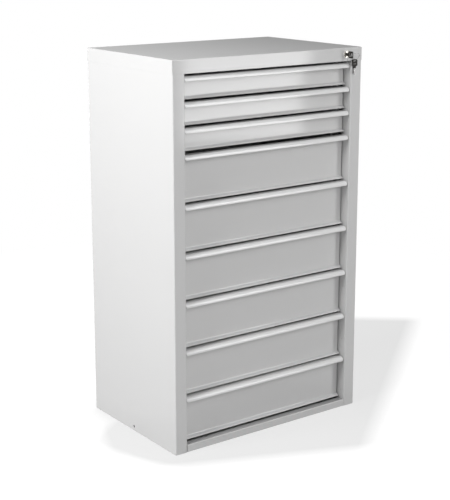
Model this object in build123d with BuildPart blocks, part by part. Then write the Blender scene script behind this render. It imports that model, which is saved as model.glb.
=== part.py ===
from math import cos, hypot, radians, sin
import os

from build123d import *

# Multi-drawer steel cabinet: a folded sheet casing with nine drawers on telescopic runners
# and one cylinder lock at the top right that blocks every drawer through a sliding bar.
# The origin is the centre of the base, on the floor. +X is right, +Y is back, +Z is up.

# Casing
casing_width = 600.0
casing_depth = 400.0
casing_sheet = 1.0
casing_bend = 1.5
stile_width = 35.0
jamb_depth = 34.0
rear_flange = 20.0
head_flange = 18.0
pan_height = 35.0
pan_lip = 16.0
pan_bend = 2.5
corner_slit = 0.8

# Bottom rail and base
rail_height = 20.0
rail_flange = 20.0
rail_end_gap = 0.4
rail_notch_width = 6.0
rail_notch_depth = 4.5
rail_notch_inset = 107.0
rail_hole_radius = 1.8
rail_hole_inset = 44.0
rail_hole_setback = 7.0
base_flange = 18.0
base_front_gap = 0.5
foot_hole_radius = 4.5
foot_hole_span_x = 480.0
foot_hole_span_y = 300.0
link_hole_radius = 3.5
link_hole_height = 11.0
wall_hole_radius = 4.0
wall_hole_span = 400.0
wall_hole_drop = 40.0
jamb_hole_radius = 1.5
jamb_hole_setback = 14.0
jamb_hole_heights = (43.0, 194.0, 345.0)
jamb_clearance = 0.5

# Drawer stack, from the bottom rail up
deep_drawers = 6
deep_front_height = 119.0
deep_front_gap = 5.5
shallow_drawers = 3
shallow_front_height = 57.0
shallow_front_gap = 6.0
bottom_gap = 4.5
group_gap = 9.0
top_gap = 7.0

# Drawer fronts: one folded sheet with a flared foot and a hooked grip along the top
front_sheet = 1.0
front_side_gap = 2.5
front_recess = 29.0
foot_flare = 9.0
foot_height = 7.0
front_bend = 1.4
grip_setback = 3.5
grip_height = 11.5
grip_roll = 9.0
grip_hem = 4.5
grip_hem_spacing = 2.2
grip_corner = 4.5

# Drawer trays
tray_sheet = 0.8
tray_rise = 6.0
tray_top_drop = 5.0
tray_rear_gap = 20.0
tray_hem = 8.0
tray_bend = 1.5

# Telescopic runners, three members on each side of a drawer
runner_space = 12.7
runner_sheet = 1.2
runner_height = 35.0
runner_rise = 8.0
runner_setback = 38.0
runner_rear_gap = 12.0
runner_play = 0.3
runner_bend = 1.0
outer_runner_depth = 8.7
mid_runner_depth = 7.6
mid_runner_play = 0.5
inner_runner_depth = 7.4

# Uprights that carry the outer runner members
upright_sheet = 1.5
upright_bend = 2.0
upright_face = 30.0
upright_lip = 12.0
front_upright_setback = 75.0
rear_upright_setback = 345.0

# Cylinder lock in the front of the top pan
lock_inset = 53.5
lock_drop = 17.5
lock_flange_radius = 9.5
lock_flange_thickness = 2.0
lock_flange_edge = 0.6
lock_barrel_radius = 8.0
lock_barrel_length = 22.0
lock_hole_play = 0.3
plug_radius = 5.5
plug_play = 0.05
plug_proud = 0.3
plug_length = 24.0
plug_boss = 7.0
keyway_height = 7.0
keyway_width = 2.4
keyway_depth = 19.0
lock_nut_width = 22.0
lock_nut_thickness = 4.0

# Cam with a crank pin that lifts and lowers the locking bar
cam_thickness = 2.0
cam_radius = 8.5
crank_radius = 6.0
crank_angle = 45.0
crank_pin_radius = 1.5
crank_pin_length = 7.0
cam_screw_radius = 4.2
cam_screw_height = 2.5

# Locking bar, its guides and the catches on the trays
bar_sheet = 2.0
bar_width = 16.0
bar_setback = 50.0
bar_side_gap = 2.0
bar_foot = 20.0
finger_reach = 11.0
finger_setback = 55.5
finger_height = 5.5
catch_height = 6.0
catch_thickness = 1.5
catch_reach = 8.0
catch_rise = 44.5
catch_play = 1.1
finger_lift = 2.0
fork_setback = 31.0
fork_height = 15.0
fork_play = 0.5
fork_overhang = 1.5
guide_height = 16.0
guide_wall = 2.0
guide_play = 0.3
guide_mouth = 12.0
guide_every = 3
guide_rise = 20.0

# Keys on a wire ring
key_bow_width = 18.0
key_bow_length = 16.5
key_bow_corner = 2.5
key_bow_thickness = 2.4
key_taper = 2.5
key_neck_width = 7.5
key_neck_length = 4.0
key_neck_fillet = 0.6
key_slot_length = 8.5
key_slot_width = 4.6
key_slot_inset = 4.0
key_blade_width = 6.4
key_blade_thickness = 2.0
key_blade_length = 17.0
key_tip = 2.5
key_seat_gap = 0.2
ring_wire_radius = 0.45
spare_key_drop = 18.0
spare_key_side_gap = 0.5
spare_key_front_gap = 3.4

# Screws that hold the top pan to the side panels
pan_screw_radius = 2.5
pan_screw_head_radius = 4.5
pan_screw_head_height = 3.0
pan_screw_length = 8.0
pan_screw_play = 0.2
pan_screw_inset = 10.0
pan_screw_setback = 40.0


def drawer_stack():
    """The bottom and height of each front, from the top drawer down, and the opening's top."""
    places = []
    level = rail_height + bottom_gap
    for _ in range(deep_drawers):
        places.append((level, deep_front_height))
        level += deep_front_height + deep_front_gap
    level += group_gap - deep_front_gap
    for _ in range(shallow_drawers):
        places.append((level, shallow_front_height))
        level += shallow_front_height + shallow_front_gap
    opening_top = level - shallow_front_gap + top_gap
    return places[::-1], opening_top


# Places worked out from the sizes above
drawers, pan_bottom = drawer_stack()
casing_height = pan_bottom + pan_height
half_width = casing_width / 2
inner_bend = casing_bend - casing_sheet * (1 - cos(radians(45)))
front_y = -casing_depth / 2
rear_y = casing_depth / 2
half_opening = half_width - stile_width
half_front = half_opening - front_side_gap
half_tray = half_opening - runner_space
back_panel_y = rear_y - 2 * casing_sheet
tray_front_y = front_y + front_recess + front_sheet
tray_rear_y = rear_y - tray_rear_gap
runner_front_y = front_y + runner_setback
runner_rear_y = rear_y - runner_rear_gap
runner_length = runner_rear_y - runner_front_y
mid_runner_height = runner_height - 2 * (runner_sheet + runner_play)
inner_runner_height = mid_runner_height - 2 * (runner_sheet + runner_play)
lock_x = half_width - lock_inset
lock_z = casing_height - lock_drop
lock_face_y = front_y - lock_flange_thickness
plug_face_y = lock_face_y - plug_proud
plug_rear_y = front_y + plug_length
cam_rear_y = plug_rear_y + cam_thickness
bar_x = half_opening + bar_side_gap
bar_front_y = front_y + bar_setback
finger_y = front_y + finger_setback
catch_y = finger_y + bar_sheet + catch_play
pin_x = lock_x + crank_radius * cos(radians(crank_angle))
pin_z = lock_z + crank_radius * sin(radians(crank_angle))
bar_head_top = pin_z + fork_height / 2
pan_screw_x = half_width - pan_screw_inset
pan_screw_y = casing_depth / 2 - pan_screw_setback
bar_travel = 2 * crank_radius * sin(radians(crank_angle))

os.makedirs("parts", exist_ok=True)


def save(name, *pieces):
    """Write one node's finished pieces under its name, each piece a solid of its own."""
    node = Compound([solid for piece in pieces for solid in piece.part.solids()])
    node.label = name
    export_step(node, f"parts/{name}.step")


def cut_corners(path, bend):
    """A path with each of its corners cut to one flat, as far along both sides as the bend."""
    points = [Vector(*path[0])]
    for before, corner, after in zip(path, path[1:], path[2:]):
        for end in (before, after):
            points.append(Vector(*corner) + (Vector(*end) - Vector(*corner)).normalized() * bend)
    return points + [Vector(*path[-1])]


def bent_sheet(plane, path, thickness, bend, length):
    """Draw out a sheet whose centre line follows a path, with a flat at each bend."""
    line = cut_corners(path, bend)
    steps = [(far - near).normalized() for near, far in zip(line, line[1:])]
    one_face, other_face = [], []
    for point, before, after in zip(line, steps[:1] + steps, steps + steps[-1:]):
        along = (before + after).normalized()
        across = Vector(-along.Y, along.X) * (thickness / 2 / along.dot(after))
        one_face.append(point + across)
        other_face.append(point - across)
    with BuildSketch(plane) as profile:
        with BuildLine():
            Polyline(*one_face, *other_face[::-1], close=True)
        make_face()
    extrude(profile.sketch, amount=length)


def slab(low, high, mode=Mode.ADD):
    """Add or cut a square block between two corners."""
    sizes = [b - a for a, b in zip(low, high)]
    with Locations(tuple(low)):
        Box(*sizes, align=(Align.MIN, Align.MIN, Align.MIN), mode=mode)


def side_slab(hand, inner_x, outer_x, y_range, z_range, mode=Mode.ADD):
    """A block on one side of the cabinet, between two distances from its middle."""
    low_x, high_x = sorted((hand * inner_x, hand * outer_x))
    slab((low_x, y_range[0], z_range[0]), (high_x, y_range[1], z_range[1]), mode)


# Top pan: flat sheet folded down on four sides, with a lip turned in under each flange
with BuildPart() as top_panel:
    with BuildSketch(Plane.XY.offset(pan_bottom)):
        Rectangle(casing_width, casing_depth)
    extrude(amount=pan_height)
    fillet(top_panel.edges().group_by(Axis.Z)[-1], radius=pan_bend)
    offset(amount=-casing_sheet, openings=top_panel.faces().sort_by(Axis.Z)[0])
    with BuildSketch(Plane.XY.offset(pan_bottom)):
        Rectangle(casing_width - casing_sheet, casing_depth - casing_sheet)
        Rectangle(casing_width - 2 * pan_lip, casing_depth - 2 * pan_lip, mode=Mode.SUBTRACT)
    extrude(amount=casing_sheet)
    for hand in (-1, 1):
        for flange_y, step in ((front_y, 1), (rear_y, -1)):
            slit = sorted((flange_y + step * casing_sheet, flange_y + step * (casing_sheet + corner_slit)))
            side_slab(
                hand, half_width - casing_sheet, half_width, slit,
                (pan_bottom, casing_height - pan_bend), Mode.SUBTRACT,
            )
    with BuildSketch(Plane.XZ.offset(-front_y)):
        with Locations((lock_x, lock_z)):
            Circle(lock_barrel_radius + lock_hole_play)
    extrude(amount=-casing_sheet, mode=Mode.SUBTRACT)
    with BuildSketch(Plane.XY.offset(pan_bottom)):
        with GridLocations(2 * pan_screw_x, 2 * pan_screw_y, 2, 2):
            Circle(pan_screw_radius + pan_screw_play)
    extrude(amount=casing_sheet, mode=Mode.SUBTRACT)
save("top_panel", top_panel)


# Side panels: stile and jamb folded at the front, flanges folded at the back and the head
for hand, side in ((-1, "left"), (1, "right")):
    wall_x = hand * (half_width - casing_sheet / 2)
    jamb_x = hand * (half_opening + casing_sheet / 2)
    with BuildPart() as side_panel:
        bent_sheet(
            Plane.XY,
            [
                (jamb_x, front_y + jamb_depth),
                (jamb_x, front_y + casing_sheet / 2),
                (wall_x, front_y + casing_sheet / 2),
                (wall_x, rear_y - casing_sheet / 2),
                (hand * (half_width - rear_flange), rear_y - casing_sheet / 2),
            ],
            casing_sheet, casing_bend, pan_bottom,
        )
        side_slab(
            hand, half_width - head_flange, half_width - casing_sheet,
            (front_y + jamb_depth, back_panel_y), (pan_bottom - casing_sheet, pan_bottom),
        )
        with BuildSketch(Plane.XY.offset(pan_bottom)):
            with GridLocations(2 * pan_screw_x, 2 * pan_screw_y, 2, 2):
                Circle(pan_screw_radius + pan_screw_play)
        extrude(amount=-casing_sheet, mode=Mode.SUBTRACT)
        with BuildSketch(Plane.YZ.offset(wall_x)):
            with Locations((0, link_hole_height)):
                Circle(link_hole_radius)
        extrude(amount=casing_sheet, both=True, mode=Mode.SUBTRACT)
        with BuildSketch(Plane.YZ.offset(jamb_x)):
            with Locations(*[(front_y + jamb_hole_setback, height) for height in jamb_hole_heights]):
                Circle(jamb_hole_radius)
        extrude(amount=casing_sheet, both=True, mode=Mode.SUBTRACT)
    save(f"side_panel_{side}", side_panel)


# Back panel, between the base and the top pan, in front of the side panels' rear flanges
with BuildPart() as back_panel:
    with BuildSketch(Plane.XZ.offset(-back_panel_y)):
        with Locations((0, pan_bottom / 2)):
            Rectangle(casing_width - 2 * (casing_sheet + inner_bend), pan_bottom)
        with Locations((0, pan_bottom - wall_hole_drop)):
            with GridLocations(wall_hole_span, 0, 2, 1):
                Circle(wall_hole_radius, mode=Mode.SUBTRACT)
    extrude(amount=-casing_sheet)
save("back_panel", back_panel)


# Bottom rail: a channel between the stiles, notched along the back of its top flange
with BuildPart() as bottom_rail:
    bent_sheet(
        Plane.YZ.offset(-half_opening + rail_end_gap),
        [
            (front_y + rail_flange, rail_height - casing_sheet / 2),
            (front_y + casing_sheet / 2, rail_height - casing_sheet / 2),
            (front_y + casing_sheet / 2, casing_sheet / 2),
            (front_y + rail_flange, casing_sheet / 2),
        ],
        casing_sheet, casing_bend, 2 * (half_opening - rail_end_gap),
    )
    for hand in (-1, 1):
        notch_x = half_width - rail_notch_inset
        side_slab(
            hand, notch_x - rail_notch_width / 2, notch_x + rail_notch_width / 2,
            (front_y + rail_flange - rail_notch_depth, front_y + rail_flange),
            (rail_height - casing_sheet, rail_height), Mode.SUBTRACT,
        )
    with BuildSketch(Plane.XY.offset(rail_height)):
        with Locations((0, front_y + rail_hole_setback)):
            with GridLocations(casing_width - 2 * rail_hole_inset, 0, 2, 1):
                Circle(rail_hole_radius)
    extrude(amount=-casing_sheet, mode=Mode.SUBTRACT)
save("bottom_rail", bottom_rail)


# Base panel: a shallow channel on the floor, narrowed at the front to pass between the jambs
base_x = half_width - casing_sheet - casing_sheet / 2
base_front_y = front_y + rail_flange + base_front_gap
base_rear_y = rear_y - casing_sheet - inner_bend
with BuildPart() as base_panel:
    bent_sheet(
        Plane.XZ.offset(-base_rear_y),
        [
            (-base_x, base_flange),
            (-base_x, casing_sheet / 2),
            (base_x, casing_sheet / 2),
            (base_x, base_flange),
        ],
        casing_sheet, casing_bend, base_rear_y - base_front_y,
    )
    for hand in (-1, 1):
        side_slab(
            hand, half_opening - rail_end_gap, half_width,
            (base_front_y, front_y + jamb_depth + jamb_clearance), (0, base_flange), Mode.SUBTRACT,
        )
    with BuildSketch(Plane.XY):
        with GridLocations(foot_hole_span_x, foot_hole_span_y, 2, 2):
            Circle(foot_hole_radius)
    extrude(amount=casing_sheet, mode=Mode.SUBTRACT)
    with BuildSketch(Plane.YZ.offset(-half_width)):
        with Locations((0, link_hole_height)):
            Circle(link_hole_radius)
    extrude(amount=casing_width, mode=Mode.SUBTRACT)
save("base_panel", base_panel)


# Uprights: hat sections on the side panels that carry the runners
upright_wall_x = half_width - casing_sheet - upright_sheet / 2
upright_web_x = half_opening + upright_sheet / 2
for place, setback in (("front", front_upright_setback), ("rear", rear_upright_setback)):
    near_y = front_y + setback
    far_y = near_y + upright_face
    for hand, side in ((-1, "left"), (1, "right")):
        with BuildPart() as upright:
            bent_sheet(
                Plane.XY.offset(base_flange),
                [
                    (hand * upright_wall_x, near_y - upright_lip),
                    (hand * upright_wall_x, near_y),
                    (hand * upright_web_x, near_y),
                    (hand * upright_web_x, far_y),
                    (hand * upright_wall_x, far_y),
                    (hand * upright_wall_x, far_y + upright_lip),
                ],
                upright_sheet, upright_bend, pan_bottom - casing_sheet - base_flange,
            )
        save(f"upright_{place}_{side}", upright)


def runner(hand, web_gap, opening_side, depth, height, front_bottom):
    """One channel-shaped runner member. web_gap is the tray's side to the back of its web."""
    web_x = half_tray + web_gap + opening_side * runner_sheet / 2
    edge_x = half_tray + web_gap + opening_side * depth
    middle_z = front_bottom + runner_rise + runner_height / 2
    top = middle_z + (height - runner_sheet) / 2
    bottom = middle_z - (height - runner_sheet) / 2
    bent_sheet(
        Plane.XZ.offset(-runner_rear_y),
        [(hand * edge_x, top), (hand * web_x, top), (hand * web_x, bottom), (hand * edge_x, bottom)],
        runner_sheet, runner_bend, runner_length,
    )


# Outer runner members, a set of nine on the uprights of each side
for hand, side in ((-1, "left"), (1, "right")):
    with BuildPart() as outer_runners:
        for front_bottom, _ in drawers:
            runner(hand, runner_space, -1, outer_runner_depth, runner_height, front_bottom)
    save(f"outer_runners_{side}", outer_runners)


def drawer_front(bottom, height):
    """The folded front: flared foot, flat panel, and a grip rolled forward to a turned-up hem."""
    half_sheet = front_sheet / 2
    panel_y = front_y + front_recess + half_sheet
    grip_y = front_y + grip_setback + half_sheet
    hem_y = grip_y + grip_hem_spacing
    top_z = bottom + height - half_sheet
    grip_foot = bottom + height - grip_height
    foot_edge = bottom + half_sheet * foot_flare / hypot(foot_flare, foot_height)
    roll_start = grip_y + grip_roll
    bent_sheet(
        Plane.YZ.offset(-half_front),
        [
            (panel_y - foot_flare, foot_edge),
            (panel_y, bottom + foot_height),
            (panel_y, top_z),
            (roll_start, top_z),
        ],
        front_sheet, front_bend, 2 * half_front,
    )
    with BuildSketch(Plane.YZ.offset(-half_front)) as profile:
        with BuildLine():
            Line((grip_y, grip_foot), (grip_y, top_z - grip_roll))
            RadiusArc((grip_y, top_z - grip_roll), (roll_start, top_z), grip_roll)
        trace(line_width=front_sheet)
        with Locations((grip_y - half_sheet, grip_foot)):
            Rectangle(grip_hem_spacing + front_sheet, front_sheet, align=Align.MIN)
        with Locations((hem_y - half_sheet, grip_foot)):
            Rectangle(front_sheet, front_sheet + grip_hem, align=Align.MIN)
    extrude(profile.sketch, amount=2 * half_front)
    for hand in (-1, 1):
        with BuildSketch(Plane.XZ.offset(-(hem_y + front_sheet))) as corner:
            with Locations((hand * (half_front - grip_corner / 2), grip_foot + grip_corner / 2)):
                Rectangle(grip_corner, grip_corner)
            with Locations((hand * (half_front - grip_corner), grip_foot + grip_corner)):
                Circle(grip_corner, mode=Mode.SUBTRACT)
        extrude(corner.sketch, amount=hem_y + front_sheet - front_y, mode=Mode.SUBTRACT)


def drawer_tray(bottom, height):
    """The folded tray with a hemmed rim."""
    tray_bottom = bottom + tray_rise
    tray_top = bottom + height - tray_top_drop
    tray_length = tray_rear_y - tray_front_y
    middle_y = (tray_front_y + tray_rear_y) / 2
    with BuildSketch(Plane.XY.offset(tray_bottom)) as outline:
        with Locations((0, middle_y)):
            Rectangle(2 * half_tray, tray_length)
    block = extrude(outline.sketch, amount=tray_top - tray_bottom)
    chamfer(block.edges().group_by(Axis.Z)[0], length=tray_bend)
    opening = block.faces().sort_by(Axis.Z)[-1]
    offset(amount=-tray_sheet, openings=opening)
    with BuildSketch(Plane.XY.offset(tray_top)) as rim:
        with Locations((0, middle_y)):
            Rectangle(2 * half_tray, tray_length)
            Rectangle(
                2 * (half_tray - 2 * tray_sheet), tray_length - 4 * tray_sheet, mode=Mode.SUBTRACT
            )
    extrude(rim.sketch, amount=-tray_hem)


# Drawers, numbered from the top. The catch is a tab welded to the tray's side.
mid_web_gap = runner_space - runner_sheet - mid_runner_play
for number, (bottom, height) in enumerate(drawers, start=1):
    with BuildPart() as front:
        drawer_front(bottom, height)
    save(f"drawer_{number}_front", front)

    with BuildPart() as tray:
        drawer_tray(bottom, height)
    with BuildPart() as catch:
        slab(
            (half_tray, catch_y, bottom + catch_rise),
            (half_tray + catch_reach, catch_y + catch_thickness, bottom + catch_rise + catch_height),
        )
    save(f"drawer_{number}_tray", tray, catch)

    with BuildPart() as mid_runners:
        for hand in (-1, 1):
            runner(hand, mid_web_gap, -1, mid_runner_depth, mid_runner_height, bottom)
    save(f"drawer_{number}_mid_runners", mid_runners)

    with BuildPart() as inner_runners:
        for hand in (-1, 1):
            runner(hand, 0, 1, inner_runner_depth, inner_runner_height, bottom)
    save(f"drawer_{number}_inner_runners", inner_runners)


# Lock housing: a flanged barrel through the pan's front flange
with BuildPart() as lock_housing:
    with BuildSketch(Plane.XZ.offset(-front_y)):
        with Locations((lock_x, lock_z)):
            Circle(lock_flange_radius)
    extrude(amount=lock_flange_thickness)
    chamfer(lock_housing.edges().group_by(Axis.Y)[0], length=lock_flange_edge)
    with BuildSketch(Plane.XZ.offset(-front_y)):
        with Locations((lock_x, lock_z)):
            Circle(lock_barrel_radius)
    extrude(amount=-lock_barrel_length)
    with BuildSketch(Plane.XZ.offset(-lock_face_y)):
        with Locations((lock_x, lock_z)):
            Circle(plug_radius + plug_play)
    extrude(amount=-(lock_barrel_length + lock_flange_thickness), mode=Mode.SUBTRACT)
save("lock_housing", lock_housing)


# Lock nut, behind the pan's front flange
with BuildPart() as lock_nut:
    with BuildSketch(Plane.XZ.offset(-(front_y + casing_sheet))):
        with Locations((lock_x, lock_z)):
            RegularPolygon(lock_nut_width / 2, 6, major_radius=False)
            Circle(lock_barrel_radius, mode=Mode.SUBTRACT)
    extrude(amount=-lock_nut_thickness)
save("lock_nut", lock_nut)


# Lock plug: turns in the housing, with a keyway at the front and a square boss at the back
with BuildPart() as lock_plug:
    with BuildSketch(Plane.XZ.offset(-plug_face_y)):
        with Locations((lock_x, lock_z)):
            Circle(plug_radius)
    extrude(amount=-(plug_rear_y - plug_face_y))
    with BuildSketch(Plane.XZ.offset(-plug_rear_y)):
        with Locations((lock_x, lock_z)):
            Rectangle(plug_boss, plug_boss)
    extrude(amount=-cam_thickness)
    with BuildSketch(Plane.XZ.offset(-plug_face_y)):
        with Locations((lock_x, lock_z)):
            Rectangle(keyway_width, keyway_height)
    extrude(amount=-keyway_depth, mode=Mode.SUBTRACT)
save("lock_plug", lock_plug)


# Lock cam: a disc on the plug's boss with a crank pin, held by its screw
with BuildPart() as lock_cam:
    with BuildSketch(Plane.XZ.offset(-plug_rear_y)):
        with Locations((lock_x, lock_z)):
            Circle(cam_radius)
            Rectangle(plug_boss, plug_boss, mode=Mode.SUBTRACT)
    extrude(amount=-cam_thickness)
    with BuildSketch(Plane.XZ.offset(-cam_rear_y)):
        with Locations((pin_x, pin_z)):
            Circle(crank_pin_radius)
    extrude(amount=-crank_pin_length)
    with BuildSketch(Plane.XZ.offset(-cam_rear_y)):
        with Locations((lock_x, lock_z)):
            RegularPolygon(cam_screw_radius, 6)
    extrude(amount=-cam_screw_height)
save("lock_cam", lock_cam)


# Locking bar: a flat strip with a slotted fork bracket and, over each catch, a finger welded on
lowest_front = drawers[-1][0]
finger_rise = catch_rise + catch_height + finger_lift
with BuildPart() as bar_strip:
    slab(
        (bar_x, bar_front_y, lowest_front + bar_foot),
        (bar_x + bar_sheet, bar_front_y + bar_width, bar_head_top),
    )
fork_y = front_y + fork_setback
fork_end_x = lock_x - fork_overhang
fork_slot_reach = crank_radius + crank_pin_radius + fork_play
with BuildPart() as bar_fork:
    slab(
        (fork_end_x, fork_y, bar_head_top - fork_height),
        (bar_x + bar_sheet, fork_y + bar_sheet, bar_head_top),
    )
    slab(
        (bar_x, fork_y, bar_head_top - fork_height),
        (bar_x + bar_sheet, bar_front_y, bar_head_top),
    )
    slab(
        (fork_end_x, fork_y, pin_z - crank_pin_radius - fork_play),
        (lock_x + fork_slot_reach, fork_y + bar_sheet, pin_z + crank_pin_radius + fork_play),
        Mode.SUBTRACT,
    )
with BuildPart() as bar_fingers:
    for bottom, _ in drawers:
        slab(
            (bar_x - finger_reach, finger_y, bottom + finger_rise),
            (bar_x, finger_y + bar_sheet, bottom + finger_rise + finger_height),
        )
save("lock_bar", bar_strip, bar_fork, bar_fingers)


# Bar guides: clips on the front upright at every third drawer, which hold the bar's edges
guide_front_y = bar_front_y - guide_play - guide_wall
guide_rear_y = front_y + front_upright_setback - upright_sheet / 2
bar_middle_y = bar_front_y + bar_width / 2
with BuildPart() as lock_bar_guides:
    for number in range(len(drawers), 0, -guide_every):
        height = drawers[number - 1][0] + finger_rise + finger_height + guide_rise
        span = (height - guide_height / 2, height + guide_height / 2)
        side_slab(
            1, bar_x - guide_play - guide_wall / 2, bar_x + bar_sheet + guide_play + guide_wall,
            (guide_front_y, guide_rear_y), span,
        )
        side_slab(
            1, bar_x - guide_play, bar_x + bar_sheet + guide_play,
            (bar_front_y - guide_play, bar_front_y + bar_width + guide_play), span, Mode.SUBTRACT,
        )
        side_slab(
            1, bar_x - guide_play - guide_wall, bar_x,
            (bar_middle_y - guide_mouth / 2, bar_middle_y + guide_mouth / 2), span, Mode.SUBTRACT,
        )
save("lock_bar_guides", lock_bar_guides)


def key_bow(plane):
    """The moulded bow, drawn with the shoulder at the plane's origin and the bow along its Y."""
    bow_foot = key_neck_length + key_taper
    bow_end = bow_foot + key_bow_length
    with BuildSketch(plane) as outline:
        with BuildLine():
            FilletPolyline(
                (-key_neck_width / 2, 0),
                (-key_neck_width / 2, key_neck_length),
                (-key_bow_width / 2, bow_foot),
                (-key_bow_width / 2, bow_end),
                (key_bow_width / 2, bow_end),
                (key_bow_width / 2, bow_foot),
                (key_neck_width / 2, key_neck_length),
                (key_neck_width / 2, 0),
                radius=(0, key_neck_fillet, key_bow_corner, key_bow_corner, key_neck_fillet, 0),
            )
            Line((key_neck_width / 2, 0), (-key_neck_width / 2, 0))
        make_face()
        with Locations((0, bow_end - key_slot_inset)):
            SlotOverall(key_slot_length, key_slot_width, mode=Mode.SUBTRACT)
    extrude(outline.sketch, amount=key_bow_thickness / 2, both=True)


def key_blade(plane):
    """The steel blade below the shoulder, pointed at its tip."""
    with BuildSketch(plane) as outline:
        with BuildLine():
            Polyline(
                (-key_blade_width / 2, 0),
                (-key_blade_width / 2, key_tip - key_blade_length),
                (0, -key_blade_length),
                (key_blade_width / 2, key_tip - key_blade_length),
                (key_blade_width / 2, 0),
                close=True,
            )
        make_face()
    extrude(outline.sketch, amount=key_blade_thickness / 2, both=True)


# The key in the lock, its bow upright
key_face_y = plug_face_y - key_seat_gap
key_plane = Plane(origin=(lock_x, key_face_y, lock_z), x_dir=(0, 0, 1), z_dir=(1, 0, 0))
slot_reach = key_neck_length + key_taper + key_bow_length - key_slot_inset
with BuildPart() as lock_key_bow:
    key_bow(key_plane)
save("lock_key_bow", lock_key_bow)
with BuildPart() as lock_key_blade:
    key_blade(key_plane)
save("lock_key_blade", lock_key_blade)


# The spare key hangs flat before the right stile, beside the drawers' path
lock_key_slot = Vector(lock_x, key_face_y - slot_reach, lock_z)
spare_key_slot = Vector(
    half_front + spare_key_side_gap + key_bow_width / 2,
    front_y - spare_key_front_gap - key_bow_thickness / 2,
    lock_z - spare_key_drop,
)
spare_plane = Plane(origin=spare_key_slot - Vector(0, 0, slot_reach), x_dir=(1, 0, 0), z_dir=(0, -1, 0))
with BuildPart() as spare_key_bow:
    key_bow(spare_plane)
save("spare_key_bow", spare_key_bow)
with BuildPart() as spare_key_blade:
    key_blade(spare_plane)
save("spare_key_blade", spare_key_blade)


# The wire ring spans the two slots and crosses the first bow as squarely as it can
ring_span = spare_key_slot - lock_key_slot
ring_plane = Plane(
    origin=(lock_key_slot + spare_key_slot) / 2,
    x_dir=ring_span,
    z_dir=ring_span.cross(Vector(1, 0, 0)),
)
with BuildPart() as key_ring:
    with BuildSketch(Plane(origin=ring_plane.origin, x_dir=ring_span, z_dir=ring_plane.y_dir)):
        with Locations((ring_span.length / 2, 0)):
            RegularPolygon(ring_wire_radius, 6)
    revolve(axis=Axis(ring_plane.origin, ring_plane.z_dir))
save("key_ring", key_ring)


# Screws up through the side panels' head flanges into the pan's lips
with BuildPart() as pan_screws:
    with BuildSketch(Plane.XY.offset(pan_bottom - casing_sheet)):
        with GridLocations(2 * pan_screw_x, 2 * pan_screw_y, 2, 2):
            RegularPolygon(pan_screw_head_radius, 6)
    extrude(amount=-pan_screw_head_height)
    with BuildSketch(Plane.XY.offset(pan_bottom - casing_sheet)):
        with GridLocations(2 * pan_screw_x, 2 * pan_screw_y, 2, 2):
            Circle(pan_screw_radius)
    extrude(amount=pan_screw_length)
save("pan_screws", pan_screws)

print(f"casing height {casing_height:.1f} mm, locking bar travel {bar_travel:.3f} mm")
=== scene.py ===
# Multi-drawer steel cabinet: materials, small parts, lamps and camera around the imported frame.
# Everything is in metres in the row frame: +X right, +Y back, +Z up, the floor at zero.
import math

import bmesh
import bpy
from mathutils import Matrix, Vector


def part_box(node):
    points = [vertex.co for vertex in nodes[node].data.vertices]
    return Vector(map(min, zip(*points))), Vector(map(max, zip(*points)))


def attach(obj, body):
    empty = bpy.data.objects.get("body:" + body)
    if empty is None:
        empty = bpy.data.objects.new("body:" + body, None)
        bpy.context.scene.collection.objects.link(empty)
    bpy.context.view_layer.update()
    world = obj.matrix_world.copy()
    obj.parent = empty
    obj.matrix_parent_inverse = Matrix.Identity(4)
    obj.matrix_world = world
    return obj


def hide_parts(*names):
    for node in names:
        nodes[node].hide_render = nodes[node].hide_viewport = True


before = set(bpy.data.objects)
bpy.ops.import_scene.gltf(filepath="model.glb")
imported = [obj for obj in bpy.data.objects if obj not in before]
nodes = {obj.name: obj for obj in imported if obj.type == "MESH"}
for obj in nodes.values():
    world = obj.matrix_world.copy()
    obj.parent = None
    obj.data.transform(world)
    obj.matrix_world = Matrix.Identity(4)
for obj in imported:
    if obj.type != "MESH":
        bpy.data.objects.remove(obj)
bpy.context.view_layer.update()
collection = bpy.context.scene.collection
MM = 0.001
EDGE_LEAN = (0.80, 0.99)
NOISE_SPREAD = (0.3, 0.7)


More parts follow.
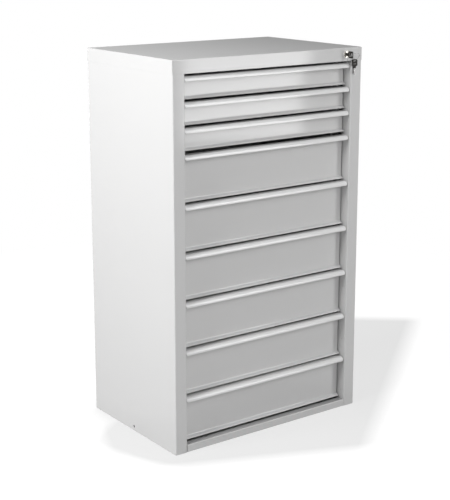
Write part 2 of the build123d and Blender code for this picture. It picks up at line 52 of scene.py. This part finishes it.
class Shader:
    """The nodes of a material or of the world, with short calls for them."""

    def __init__(self, holder, output="ShaderNodeOutputMaterial"):
        holder.use_nodes = True
        self.holder = holder
        self.tree = holder.node_tree
        self.tree.nodes.clear()
        self.output = self.node(output)

    def node(self, kind, **settings):
        made = self.tree.nodes.new(kind)
        for key, value in settings.items():
            setattr(made, key, value)
        return made

    def link(self, source, target):
        self.tree.links.new(source, target)

    def coords(self, scale=(1.0, 1.0, 1.0), offset=(0.0, 0.0, 0.0)):
        """Object coordinates, so a texture stays on its piece when the piece moves."""
        place = self.node("ShaderNodeTexCoord")
        mapping = self.node("ShaderNodeMapping")
        mapping.inputs["Scale"].default_value = scale
        mapping.inputs["Location"].default_value = offset
        self.link(place.outputs["Object"], mapping.inputs["Vector"])
        return mapping.outputs["Vector"]

    def noise(self, vector, scale, detail=2.0, rough=0.5):
        made = self.node("ShaderNodeTexNoise")
        made.inputs["Scale"].default_value = scale
        made.inputs["Detail"].default_value = detail
        made.inputs["Roughness"].default_value = rough
        self.link(vector, made.inputs["Vector"])
        return made.outputs["Fac"]

    def ranged(self, value, low, high, from_low=NOISE_SPREAD[0], from_high=NOISE_SPREAD[1]):
        """A value's range turned into another, from the range that most of a noise has unless told."""
        made = self.node("ShaderNodeMapRange")
        for key, number in (
            ("From Min", from_low), ("From Max", from_high), ("To Min", low), ("To Max", high),
        ):
            made.inputs[key].default_value = number
        self.link(value, made.inputs["Value"])
        return made.outputs["Result"]

    def math(self, operation, first, second):
        made = self.node("ShaderNodeMath", operation=operation)
        for socket, value in zip(made.inputs, (first, second)):
            if isinstance(value, (int, float)):
                socket.default_value = value
            else:
                self.link(value, socket)
        return made.outputs["Value"]

    def blend(self, factor, first, second):
        """A colour between two, each a colour or a socket."""
        made = self.node("ShaderNodeMix", data_type="RGBA")
        for socket, value in zip((made.inputs[6], made.inputs[7]), (first, second)):
            if isinstance(value, tuple):
                socket.default_value = value
            else:
                self.link(value, socket)
        if isinstance(factor, (int, float)):
            made.inputs[0].default_value = factor
        else:
            self.link(factor, made.inputs[0])
        return made.outputs[2]

    def mixed(self, factor, first, second):
        """A shader node between two others."""
        made = self.node("ShaderNodeMixShader")
        self.link(factor, made.inputs["Fac"])
        self.link(first.outputs[0], made.inputs[1])
        self.link(second.outputs[0], made.inputs[2])
        return made

    def bump(self, height, distance, strength=1.0, normal=None):
        made = self.node("ShaderNodeBump")
        made.inputs["Distance"].default_value = distance
        made.inputs["Strength"].default_value = strength
        self.link(height, made.inputs["Height"])
        if normal is not None:
            self.link(normal, made.inputs["Normal"])
        return made.outputs["Normal"]

    def edge_mask(self, radius):
        """1 along sharp edges and 0 on flats, from how far a rounded normal leans over."""
        rounded = self.node("ShaderNodeBevel", samples=4)
        rounded.inputs["Radius"].default_value = radius
        plain = self.node("ShaderNodeNewGeometry")
        dot = self.node("ShaderNodeVectorMath", operation="DOT_PRODUCT")
        self.link(rounded.outputs["Normal"], dot.inputs[0])
        self.link(plain.outputs["Normal"], dot.inputs[1])
        return self.ranged(dot.outputs["Value"], 1.0, 0.0, *EDGE_LEAN), rounded.outputs["Normal"]

    def facing_up(self, start, full):
        """0 to 1 as a face turns level, from the upward part of its normal."""
        split = self.node("ShaderNodeSeparateXYZ")
        self.link(self.node("ShaderNodeNewGeometry").outputs["Normal"], split.inputs["Vector"])
        return self.ranged(split.outputs["Z"], 0.0, 1.0, start, full)

    def along(self, axis, start, full):
        """0 to 1 from one place to another along an axis of the object, in metres."""
        split = self.node("ShaderNodeSeparateXYZ")
        self.link(self.coords(), split.inputs["Vector"])
        return self.ranged(split.outputs[axis], 0.0, 1.0, start, full)

    def surface(self, colour, roughness, normal, **plain):
        """The Principled surface: linked colour, roughness and normal, and plain numbers beside them."""
        bsdf = self.node("ShaderNodeBsdfPrincipled")
        self.link(colour, bsdf.inputs["Base Color"])
        self.link(roughness, bsdf.inputs["Roughness"])
        self.link(normal, bsdf.inputs["Normal"])
        for key, number in plain.items():
            bsdf.inputs[key.replace("_", " ")].default_value = number
        self.link(bsdf.outputs["BSDF"], self.output.inputs["Surface"])
        return self.holder

    def coat(
        self, fine, patch, tones, rough, relief, spread=NOISE_SPREAD, streak=None, worn=None, **plain
    ):
        """Two tones in soft patches over a fine relief, and where given streaks and worn edges."""
        base = self.blend(self.ranged(patch, 0.0, 1.0, *spread), *tones)
        rounded = None
        if streak:
            share, tone = streak
            base = self.blend(self.ranged(fine, 0.0, share), base, tone)
        if worn:
            radius, share, tone = worn
            edge, rounded = self.edge_mask(radius)
            base = self.blend(self.math("MULTIPLY", edge, share), base, tone)
        depth, strength = relief
        normal = self.bump(fine, depth, strength, rounded)
        return self.surface(base, self.ranged(patch, *rough, *spread), normal, **plain)


def grey(level, warmth=0.0):
    return (level * (1 + warmth), level, level * (1 - warmth), 1.0)


def new_shader(name):
    return Shader(bpy.data.materials.new(name))


# Paint: paler edges (partly a thinner coat, partly a painted highlight), a painted highlight on the grips,
# and painted shade on level faces, deeper towards the right
PAINT_LEVEL = 0.62
TONE_LOW, TONE_HIGH, SPECK_TONE = 0.985, 1.015, 0.94
SPECK_SHARE = 0.4
CLOUD_SCALE, SPECK_SCALE, PEEL_SCALE = 1.6, 1500.0, 420.0
CLOUD_RANGE = (0.15, 0.85)
EDGE_RADIUS = 0.7 * MM
EDGE_THIN_COAT_AND_HIGHLIGHT_SHARE, EDGE_THIN_COAT_AND_HIGHLIGHT_LEVEL = 0.35, 1.14
PEEL_STRENGTH = 0.35
GRIP_BACK, GRIP_FACE = -0.1735, -0.1800
GRIP_HIGHLIGHT_SHARE, GRIP_HIGHLIGHT_LEVEL = 0.8, 1.30
LEVEL_FROM, LEVEL_FULL = 0.90, 0.99
TOP_SHADE_SPAN = 0.3
TOP_SHADE_LEAST, TOP_SHADE_MOST = 0.90, 1.42
TOP_SHADE_SHARE, TOP_SHADE_LEVEL, TOP_ROUGHNESS = 0.66, 0.45, 0.30


def powder_coat(name, level, rough_low, rough_high, peel, offset, shaded_top=False, grip_highlight=False):
    """Powder coat: orange peel, faint clouding, paler edges that are partly a painted highlight, and where
    asked a painted highlight on the grips or painted shade on level faces.
    """
    s = new_shader(name)
    at = s.coords(offset=offset)
    cloud = s.noise(at, CLOUD_SCALE, detail=1.0)
    speck = s.noise(at, SPECK_SCALE, detail=1.0)
    ripple = s.noise(at, PEEL_SCALE, rough=0.6)
    edge, rounded = s.edge_mask(EDGE_RADIUS)
    tones = grey(level * TONE_LOW), grey(level * TONE_HIGH, 0.004)
    base = s.blend(s.ranged(cloud, 0.0, 1.0, *CLOUD_RANGE), *tones)
    base = s.blend(s.ranged(speck, 0.0, SPECK_SHARE), base, grey(level * SPECK_TONE))
    # Paler along sharp edges: partly a thinner coat there, partly a painted highlight on the bends.
    base = s.blend(s.math("MULTIPLY", edge, EDGE_THIN_COAT_AND_HIGHLIGHT_SHARE), base, grey(level * EDGE_THIN_COAT_AND_HIGHLIGHT_LEVEL))
    rough = s.ranged(cloud, rough_low, rough_high, *CLOUD_RANGE)
    fine = s.bump(ripple, peel, PEEL_STRENGTH, rounded)
    # Painted highlight: the grips' sloping faces are coloured paler to stand in for the lamp's reflection
    # on them.
    if grip_highlight:
        grip_highlight_zone = s.along("Y", GRIP_BACK, GRIP_FACE)
        base = s.blend(s.math("MULTIPLY", grip_highlight_zone, GRIP_HIGHLIGHT_SHARE), base, grey(level * GRIP_HIGHLIGHT_LEVEL))
    # Painted shade: level faces are coloured darker, more so towards the right, and made rougher.
    if shaded_top:
        shade_drift = s.ranged(s.along("X", -TOP_SHADE_SPAN, TOP_SHADE_SPAN), TOP_SHADE_LEAST, TOP_SHADE_MOST, 0.0, 1.0)
        top_shade = s.math("MULTIPLY", s.facing_up(LEVEL_FROM, LEVEL_FULL), shade_drift)
        base = s.blend(s.math("MULTIPLY", top_shade, TOP_SHADE_SHARE), base, grey(level * TOP_SHADE_LEVEL))
        rough = s.math("ADD", rough, s.math("MULTIPLY", top_shade, TOP_ROUGHNESS))
    return s.surface(base, rough, fine)


# Metals and mouldings
SPANGLE_SCALE = 140.0
RING_SCALE, RING_WAVER = 900.0, 0.6
SPARK_SCALE = 5200.0


def galvanised(name):
    """Galvanised strip: zinc spangle under soft scratches."""
    s = new_shader(name)
    spangle = s.node("ShaderNodeTexVoronoi", feature="SMOOTH_F1")
    spangle.inputs["Scale"].default_value = SPANGLE_SCALE
    s.link(s.coords(), spangle.inputs["Vector"])
    return s.coat(
        fine=s.noise(s.coords(scale=(900.0, 900.0, 30.0)), scale=1.0, detail=3.0),
        patch=spangle.outputs["Color"],
        spread=(0.1, 0.9),
        tones=(grey(0.46, -0.01), grey(0.62, -0.005)),
        streak=(0.35, grey(0.36)),
        rough=(0.36, 0.52),
        relief=(0.02 * MM, 0.4),
        Metallic=1.0,
    )


def zinc(name):
    """Bright zinc plate on the runners, drawn along their length."""
    s = new_shader(name)
    return s.coat(
        fine=s.noise(s.coords(scale=(1400.0, 10.0, 1400.0)), scale=1.0, detail=3.0),
        patch=s.noise(s.coords(), scale=22.0, detail=4.0),
        tones=(grey(0.58, -0.012), grey(0.70, 0.012)),
        streak=(0.3, grey(0.45)),
        worn=(0.5 * MM, 0.4, grey(0.86)),
        rough=(0.24, 0.38),
        relief=(0.015 * MM, 0.4),
        Metallic=1.0,
    )


def nickel(name, centre):
    """Nickel plate with the faint rings of a turned face."""
    s = new_shader(name)
    rings = s.node("ShaderNodeTexWave", wave_type="RINGS", rings_direction="Y")
    rings.inputs["Scale"].default_value = RING_SCALE
    rings.inputs["Distortion"].default_value = RING_WAVER
    s.link(s.coords(offset=tuple(-c for c in centre)), rings.inputs["Vector"])
    return s.coat(
        fine=rings.outputs["Fac"],
        patch=s.noise(s.coords(), scale=160.0, detail=3.0),
        tones=((0.56, 0.54, 0.50, 1.0), (0.70, 0.68, 0.64, 1.0)),
        worn=(0.35 * MM, 0.5, (0.85, 0.84, 0.81, 1.0)),
        rough=(0.16, 0.28),
        relief=(0.006 * MM, 0.5),
        Metallic=1.0,
    )


def key_metal(name):
    """Milled key steel: fine cross lines and worn bright edges."""
    s = new_shader(name)
    return s.coat(
        fine=s.noise(s.coords(scale=(500.0, 500.0, 4200.0)), scale=1.0),
        patch=s.noise(s.coords(), scale=240.0),
        tones=(grey(0.26, 0.006), grey(0.36, 0.01)),
        worn=(0.3 * MM, 0.5, grey(0.55)),
        rough=(0.20, 0.34),
        relief=(0.01 * MM, 0.5),
        Metallic=1.0,
    )


def key_moulding(name):
    """Black moulded key head: fine spark texture, polished where fingers rub it."""
    s = new_shader(name)
    return s.coat(
        fine=s.noise(s.coords(), scale=SPARK_SCALE),
        patch=s.noise(s.coords(), scale=190.0, detail=3.0),
        tones=((0.010, 0.009, 0.008, 1.0), (0.022, 0.019, 0.017, 1.0)),
        worn=(0.35 * MM, 0.5, (0.045, 0.040, 0.037, 1.0)),
        rough=(0.60, 0.40),
        relief=(0.02 * MM, 0.6),
        Specular_IOR_Level=0.2,
    )


def pale_moulding(name):
    """The raised bar on a key head, in a paler grey than the rest of the head."""
    s = new_shader(name)
    return s.coat(
        fine=s.noise(s.coords(), scale=SPARK_SCALE),
        patch=s.noise(s.coords(), scale=900.0, detail=3.0),
        tones=((0.050, 0.047, 0.045, 1.0), (0.10, 0.095, 0.09, 1.0)),
        rough=(0.34, 0.48),
        relief=(0.01 * MM, 0.5),
    )


def nylon(name):
    """Off-white nylon guides."""
    s = new_shader(name)
    return s.coat(
        fine=s.noise(s.coords(), scale=2600.0, detail=1.0),
        patch=s.noise(s.coords(), scale=60.0, detail=3.0),
        tones=((0.66, 0.64, 0.58, 1.0), (0.76, 0.74, 0.69, 1.0)),
        rough=(0.42, 0.56),
        relief=(0.02 * MM, 0.5),
    )


LOCK_CENTRE = Vector((0.2465, -0.2023, 0.9825))
materials = {
    "casing_paint": powder_coat(
        "casing_paint_coat", PAINT_LEVEL, 0.07, 0.10, 0.008 * MM, (0.0, 0.0, 0.0), shaded_top=True
    ),
    "front_paint": powder_coat(
        "front_paint_coat", PAINT_LEVEL, 0.06, 0.09, 0.008 * MM, (3.1, 1.7, 0.4), grip_highlight=True
    ),
    "tray_paint": powder_coat(
        "tray_paint_coat", PAINT_LEVEL * 0.97, 0.44, 0.54, 0.04 * MM, (7.3, 2.9, 5.2)
    ),
    "frame_steel": galvanised("frame_steel_zinc"),
    "runner_steel": zinc("runner_steel_zinc"),
    "nickel": nickel("lock_nickel", LOCK_CENTRE),
    "key_steel": key_metal("key_steel_milled"),
    "key_plastic": key_moulding("key_plastic_moulded"),
    "key_bar": pale_moulding("key_bar_worn"),
    "guide_plastic": nylon("guide_nylon"),
}
for node in nodes.values():
    for place in node.material_slots:
        slot_name = place.material.name.split(".")[0]
        place.material = materials[slot_name]


# Keys and their ring: the CAD solids give place and size, these give the moulding, cuts and wire.
# BLADE_CUTS holds (place, depth) and GROOVES (face, from, to). These, GROOVE_SLOPE and BAR sizes are in mm.
KEY_SHOULDER_TO_SLOT = 19.0 * MM
BOW_HALF_WIDTH = 9.0 * MM
BOW_FOOT = 6.5 * MM
BOW_END = 23.0 * MM
BOW_CORNER = 2.5 * MM
BOW_HALF_THICKNESS = 1.2 * MM
NECK_HALF_WIDTH = 3.75 * MM
NECK_LENGTH = 4.0 * MM
NECK_FILLET = 0.6 * MM
SLOT_HALF_STRAIGHT = 1.95 * MM
SLOT_RADIUS = 2.3 * MM
BLADE_HALF_WIDTH = 3.2 * MM
BLADE_HALF_THICKNESS = 1.0 * MM
BLADE_LENGTH = 17.0 * MM
BLADE_TIP = 2.5 * MM
BLADE_CUTS = ((3.6, 0.7), (6.0, 1.3), (8.4, 0.5), (10.8, 1.0), (13.0, 0.4))
BLADE_CUT_FLAT = 0.45 * MM
BLADE_EDGE = 0.22 * MM
BLADE_STEPS = 68
BLADE_BLUNT = 0.25 * MM
BLADE_DEEPEST = 0.8
GROOVES = ((1, -1.5, 0.1), (-1, 0.6, -1.0))
GROOVE_SLOPE = 0.35
GROOVE_DEPTH = 0.45 * MM
BAR_HALF_WIDTH = 5.2
BAR_HALF_HEIGHT = 1.25
BAR_FROM_SHOULDER = 11.3
BAR_CORNER = 0.6
FIELD_DEPTH = 0.3 * MM
WIRE_RADIUS = 0.4 * MM
WIRE_PITCH = 2.24 * WIRE_RADIUS
WIRE_TURN = math.radians(402.0)
WIRE_START = math.radians(69.0)
WIRE_STEPS, WIRE_SIDES = 120, 10
WIRE_TAPER = {0: 0.55, 1: 0.9}
CORNER_STEPS = 6
INSET_LEAST = 0.5


def lofted(name, rings, material, body, place=Matrix(), wrap=False, crease=35.0):
    """A mesh piece through rings of points, closed into a tube of tubes or capped at both ends."""
    mesh = bpy.data.meshes.new(name)
    bm = bmesh.new()
    rows = [[bm.verts.new(place @ Vector(point)) for point in ring] for ring in rings]
    count = len(rings[0])
    for first, second in zip(rows, rows[1:] + rows[:1] if wrap else rows[1:]):
        for i in range(count):
            j = (i + 1) % count
            bm.faces.new((first[i], first[j], second[j], second[i]))
    if not wrap:
        bm.faces.new(rows[0])
        bm.faces.new(rows[-1][::-1])
    bmesh.ops.recalc_face_normals(bm, faces=bm.faces)
    for face in bm.faces:
        face.smooth = True
    bm.to_mesh(mesh)
    bm.free()
    mesh.set_sharp_from_angle(angle=math.radians(crease))
    mesh.materials.append(material)
    piece = bpy.data.objects.new(name, mesh)
    collection.objects.link(piece)
    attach(piece, body)
    return piece


def rounded_outline(corners, spacing):
    """Points round a closed outline whose corners are (x, y, radius), in order."""
    points = []
    for k, (x, y, radius) in enumerate(corners):
        corner = Vector((x, y))
        back = (Vector(corners[k - 1][:2]) - corner).normalized()
        ahead = (Vector(corners[(k + 1) % len(corners)][:2]) - corner).normalized()
        half = back.angle(ahead) / 2
        if radius == 0.0:
            points.append(corner)
            continue
        reach = radius / math.tan(half)
        centre = corner + (back + ahead).normalized() * (radius / math.sin(half))
        start, end = corner + back * reach - centre, corner + ahead * reach - centre
        for step in range(CORNER_STEPS + 1):
            points.append(centre + start.lerp(end, step / CORNER_STEPS).normalized() * radius)
    filled = []
    for near, far in zip(points, points[1:] + points[:1]):
        parts = max(1, round((far - near).length / spacing))
        filled += [near.lerp(far, i / parts) for i in range(parts)]
    return filled


def inset(points, distance):
    """A closed outline moved inwards along its own normals."""
    moved = []
    for k, point in enumerate(points):
        before = (point - points[k - 1]).normalized()
        after = (points[(k + 1) % len(points)] - point).normalized()
        along = (before + after).normalized()
        moved.append(point + Vector((-along.y, along.x)) * distance / max(along.dot(after), INSET_LEAST))
    return moved


def slot_point(direction, outset):
    """Where a ray from the slot's centre meets the slot's edge, moved out by a distance."""
    for side in (-1, 1):
        centre = Vector((side * SLOT_HALF_STRAIGHT, 0.0))
        along = direction.dot(centre)
        reach = along + math.sqrt(max(SLOT_RADIUS ** 2 - centre.length_squared + along ** 2, 0.0))
        point = direction * reach
        if side * (point.x - centre.x) >= 0.0:
            return point + (point - centre).normalized() * outset
    point = direction * (SLOT_RADIUS / abs(direction.y))
    return point + Vector((0.0, math.copysign(outset, point.y)))


def key_bow(name, body, place):
    """Moulded key head: soft edges, a rim round a sunk field, and a lipped slot for the ring."""
    outline = rounded_outline(
        [
            (-NECK_HALF_WIDTH, 0.0, 0.0),
            (NECK_HALF_WIDTH, 0.0, 0.0),
            (NECK_HALF_WIDTH, NECK_LENGTH, NECK_FILLET),
            (BOW_HALF_WIDTH, BOW_FOOT, BOW_CORNER),
            (BOW_HALF_WIDTH, BOW_END, BOW_CORNER),
            (-BOW_HALF_WIDTH, BOW_END, BOW_CORNER),
            (-BOW_HALF_WIDTH, BOW_FOOT, BOW_CORNER),
            (-NECK_HALF_WIDTH, NECK_LENGTH, NECK_FILLET),
        ],
        spacing=1.2 * MM,
    )
    slot_centre = Vector((0.0, KEY_SHOULDER_TO_SLOT))
    rays = [(point - slot_centre).normalized() for point in outline]
    levels = []
    for depth, drop in ((0.0, 0.35), (0.12, 0.1), (0.4, 0.0), (1.3, 0.0), (1.6, 0.3)):
        levels.append((inset(outline, depth * MM), drop * MM))
    for outset, drop in ((1.2, 0.3), (0.9, 0.05), (0.35, 0.05), (0.0, 0.4)):
        levels.append(([slot_centre + slot_point(ray, outset * MM) for ray in rays], drop * MM))
    rings = []
    for face in (1, -1):
        for points, drop in levels[::face]:
            height = face * (BOW_HALF_THICKNESS - drop)
            rings.append([(point.x, point.y, height) for point in points])
    return lofted(name, rings, materials["key_plastic"], body, place, wrap=True)


def key_bar(name, body, place, face):
    """The raised bar across the head, paler than the rest."""
    rings = []
    for spread, height in ((0.0, -0.05), (0.0, 0.18), (-0.12, 0.26), (-0.3, 0.29)):
        half_width = (BAR_HALF_WIDTH + spread) * MM
        low, high = ((BAR_FROM_SHOULDER + side * (BAR_HALF_HEIGHT + spread)) * MM for side in (-1, 1))
        corner = BAR_CORNER * MM
        outline = rounded_outline(
            [
                (-half_width, low, corner),
                (half_width, low, corner),
                (half_width, high, corner),
                (-half_width, high, corner),
            ],
            spacing=1.5 * MM,
        )
        level = BOW_HALF_THICKNESS - FIELD_DEPTH + height * MM
        rings.append([(point.x, point.y, face * level) for point in outline])
    return lofted(name, rings, materials["key_bar"], body, place)


def cut_depth(distance):
    """How deep the key's edge is cut at a distance from the shoulder."""
    deepest = 0.0
    for at, depth in BLADE_CUTS:
        flank = max(abs(distance - at * MM) - BLADE_CUT_FLAT, 0.0)
        deepest = max(deepest, depth * MM - flank)
    return deepest


def key_blade(name, body, place):
    """Steel blade: cuts along one edge, a groove in each face and a pointed tip."""
    rings = []
    for step in range(BLADE_STEPS + 1):
        distance = BLADE_LENGTH * step / BLADE_STEPS
        to_end = BLADE_LENGTH - distance
        half = BLADE_HALF_WIDTH * min(1.0, (to_end + BLADE_BLUNT) / (BLADE_TIP + BLADE_BLUNT))
        low = -half
        high = half - min(cut_depth(distance), half * BLADE_DEEPEST)
        inner_low, inner_high = low + BLADE_EDGE, high - BLADE_EDGE
        ring = []
        for face, groove_from, groove_to in GROOVES:
            groove = [
                groove_from * MM,
                (groove_from + face * GROOVE_SLOPE) * MM,
                (groove_to - face * GROOVE_SLOPE) * MM,
                groove_to * MM,
            ]
            start, end = (inner_low, inner_high) if face > 0 else (inner_high, inner_low)
            drops = (0.0, 0.0, GROOVE_DEPTH, GROOVE_DEPTH, 0.0, 0.0)
            points = [(low if face > 0 else high, BLADE_HALF_THICKNESS - BLADE_EDGE)]
            for across, drop in zip([start] + groove + [end], drops):
                points.append((min(max(across, inner_low), inner_high), BLADE_HALF_THICKNESS - drop))
            points.append((high if face > 0 else low, BLADE_HALF_THICKNESS - BLADE_EDGE))
            ring += [(across, -distance, face * height) for across, height in points]
        rings.append(ring)
    return lofted(name, rings, materials["key_steel"], body, place, crease=28.0)


def wire_ring(name, body, centre, out, axis, radius):
    """Sprung wire ring, one turn and a bit, with its two ends lying side by side."""
    across = axis.cross(out)
    rings = []
    for step in range(WIRE_STEPS + 1):
        share = step / WIRE_STEPS
        angle = WIRE_START + WIRE_TURN * share
        spoke = out * math.cos(angle) + across * math.sin(angle)
        end = min(step, WIRE_STEPS - step)
        thickness = WIRE_RADIUS * WIRE_TAPER.get(end, 1.0)
        middle = centre + spoke * radius + axis * (share - 0.5) * WIRE_PITCH
        rings.append([
            middle + (spoke * math.cos(a) + axis * math.sin(a)) * thickness
            for a in (math.tau * k / WIRE_SIDES for k in range(WIRE_SIDES))
        ])
    return lofted(name, rings, materials["key_steel"], body)


def key_places():
    """Each key's own frame: X across the head, Y out from the shoulder, Z through its thickness."""
    low, high = map(Vector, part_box("lock_key_bow"))
    middle = (low + high) / 2
    in_lock = Matrix.Translation((middle.x, high.y, middle.z)) @ Matrix(
        ((0, 0, 1, 0), (0, -1, 0, 0), (1, 0, 0, 0), (0, 0, 0, 1))
    )
    low, high = map(Vector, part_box("spare_key_bow"))
    middle = (low + high) / 2
    hanging = Matrix.Translation((middle.x, middle.y, low.z)) @ Matrix(
        ((1, 0, 0, 0), (0, 0, -1, 0), (0, 1, 0, 0), (0, 0, 0, 1))
    )
    return in_lock, hanging


def make_keys():
    in_lock, hanging = key_places()
    for body, place in (("lock_key", in_lock), ("spare_key", hanging)):
        head = key_bow(f"{body}_head", body, place)
        bars = [key_bar(f"{body}_bar_{side}", body, place, face) for side, face in (("a", 1), ("b", -1))]
        blade = key_blade(f"{body}_cut_blade", body, place)
        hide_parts(f"{body}_bow")
        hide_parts(f"{body}_blade")
    slots = [place @ Vector((0.0, KEY_SHOULDER_TO_SLOT, 0.0)) for place in (in_lock, hanging)]
    span = slots[1] - slots[0]
    axis = span.cross(Vector((1.0, 0.0, 0.0))).normalized()
    centre = (slots[0] + slots[1]) / 2
    ring = wire_ring("key_wire_ring", "key_ring", centre, span.normalized(), axis, span.length / 2)
    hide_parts("key_ring")


make_keys()


# Stage
FLOOR_DROP = 0.0004
FLOOR_RADIUS = 9.0


def make_floor():
    mesh = bpy.data.meshes.new("studio_floor")
    bm = bmesh.new()
    bmesh.ops.create_circle(bm, cap_ends=True, segments=64, radius=FLOOR_RADIUS)
    bm.to_mesh(mesh)
    bm.free()
    floor = bpy.data.objects.new("studio_floor", mesh)
    collection.objects.link(floor)
    floor.location = (0.0, 0.0, -FLOOR_DROP)
    return floor


def seen_directly(s):
    """1 for rays that show the background as it is: the camera's, and those of gloss and glass."""
    path = s.node("ShaderNodeLightPath")
    shown = s.math("MAXIMUM", path.outputs["Is Camera Ray"], path.outputs["Is Glossy Ray"])
    return s.math("MAXIMUM", shown, path.outputs["Is Transmission Ray"])


# The floor that the camera sees: white, with the flat shadow that the photograph has around the base
FLOOR_BOUNCE, FLOOR_GRAIN = 0.45, 0.02
FLOOR_SHADE = 0.16
FLOOR_GLOW = 0.94
SHADOW_DEPTH = 0.24
SHADOW_SOFTNESS = 0.03
SHADOW_CORNERS = (
    (0.13, -0.45), (0.985, 0.243), (0.45, 0.684), (-0.386, 0.048), (-0.428, -0.055), (-0.40, -0.165),
    (-0.352, -0.251),
)
CONTACT_REACH = 0.12
CONTACT_RANGE = (0.40, 0.95)
WHITE_FROM = 1.3
WHITE_BEYOND = 1.9


def shadow_area(s, at):
    """1 inside the floor's shadow and 0 outside, soft along each of its straight edges."""
    inside = None
    for start, end in zip(SHADOW_CORNERS, SHADOW_CORNERS[1:] + SHADOW_CORNERS[:1]):
        along = (Vector(end) - Vector(start)).normalized()
        inward = (-along.y, along.x, 0.0)
        reach = s.node("ShaderNodeVectorMath", operation="DOT_PRODUCT")
        s.link(at, reach.inputs[0])
        reach.inputs[1].default_value = inward
        edge = start[0] * inward[0] + start[1] * inward[1]
        within = s.ranged(
            reach.outputs["Value"], 0.0, 1.0, edge - SHADOW_SOFTNESS, edge + SHADOW_SOFTNESS
        )
        inside = within if inside is None else s.math("MULTIPLY", inside, within)
    return inside


def floor_material():
    """Pale floor: it shows as white, and keeps the cabinet's soft shadow close around it."""
    s = new_shader("studio_floor_paint")
    at = s.coords()
    grain = s.ranged(s.noise(at, scale=260.0, detail=3.0), 0.0, 1.0)
    tones = grey(FLOOR_BOUNCE * (1 - FLOOR_GRAIN)), grey(FLOOR_BOUNCE * (1 + FLOOR_GRAIN))
    plain = s.node("ShaderNodeBsdfDiffuse")
    s.link(s.blend(grain, *tones), plain.inputs["Color"])
    near_by = s.node("ShaderNodeAmbientOcclusion", samples=16)
    near_by.inputs["Distance"].default_value = CONTACT_REACH
    contact = s.ranged(near_by.outputs["AO"], 1.0, 0.0, *CONTACT_RANGE)
    dark = s.math("MAXIMUM", shadow_area(s, at), contact)
    shaded = s.node("ShaderNodeBsdfDiffuse")
    glow = s.node("ShaderNodeEmission")
    for part, level in ((shaded, FLOOR_SHADE), (glow, FLOOR_GLOW)):
        s.link(s.blend(dark, grey(level), grey(level * (1 - SHADOW_DEPTH))), part.inputs["Color"])
    lifted = s.node("ShaderNodeAddShader")
    s.link(shaded.outputs[0], lifted.inputs[0])
    s.link(glow.outputs[0], lifted.inputs[1])
    white = s.node("ShaderNodeEmission")
    white.inputs["Color"].default_value = grey(1.0)
    away = s.node("ShaderNodeVectorMath", operation="LENGTH")
    s.link(at, away.inputs[0])
    fade = s.ranged(away.outputs["Value"], 0.0, 1.0, WHITE_FROM, WHITE_BEYOND)
    near = s.mixed(fade, lifted, white)
    s.link(s.mixed(seen_directly(s), plain, near).outputs[0], s.output.inputs["Surface"])
    return s.holder


make_floor().data.materials.append(floor_material())

AMBIENT = 0.10


def make_world():
    world = bpy.data.worlds.new("studio_world")
    s = Shader(world, "ShaderNodeOutputWorld")
    dim, bright = s.node("ShaderNodeBackground"), s.node("ShaderNodeBackground")
    for light, strength in ((dim, AMBIENT), (bright, 1.0)):
        light.inputs["Color"].default_value = grey(1.0)
        light.inputs["Strength"].default_value = strength
    s.link(s.mixed(seen_directly(s), dim, bright).outputs[0], s.output.inputs["Surface"])
    bpy.context.scene.world = world


make_world()


# Soft boxes: place, aim, width, height and power. The front one is the reflection on the upper drawers.
LAMPS = {
    "side_softbox": ((-2.3, -0.15, 1.75), (-0.3, 0.0, 0.85), 1.2, 1.2, 71.0),
    "front_softbox": ((1.74, -2.6, 1.83), (0.6, -0.2, 1.83), 0.64, 3.1, 34.0),
    "fill_softbox": ((-0.3, -2.9, 1.7), (0.0, -0.2, 0.60), 1.6, 1.4, 27.0),
    "back_softbox": ((-0.1, 2.8, 0.9), (0.0, 0.2, 0.7), 1.2, 1.2, 30.0),
}


def softbox(name, place, target, width, height, power):
    lamp = bpy.data.lights.new(name, "AREA")
    lamp.shape = "RECTANGLE"
    lamp.size, lamp.size_y = width, height
    lamp.energy = power
    box = bpy.data.objects.new(name, lamp)
    collection.objects.link(box)
    box.location = place
    box.rotation_euler = (Vector(target) - Vector(place)).to_track_quat("-Z", "Y").to_euler()
    box.visible_camera = False


for lamp_name, settings in LAMPS.items():
    softbox(lamp_name, *settings)

# Camera
CAMERA_PLACE = (-1.8766, -2.5697, 1.2879)
CAMERA_HEADING = 36.133
CAMERA_TILT = -12.741
CAMERA_LENS = 86.899
CAMERA_SHIFT = -0.085

lens = bpy.data.cameras.new("camera")
lens.sensor_width = 36.0
lens.lens = CAMERA_LENS
lens.shift_y = CAMERA_SHIFT
camera = bpy.data.objects.new("camera", lens)
collection.objects.link(camera)
camera.location = CAMERA_PLACE
camera.rotation_euler = (math.radians(90.0 + CAMERA_TILT), 0.0, math.radians(-CAMERA_HEADING))
bpy.context.scene.camera = camera
bpy.context.scene.view_settings.view_transform = "Standard"
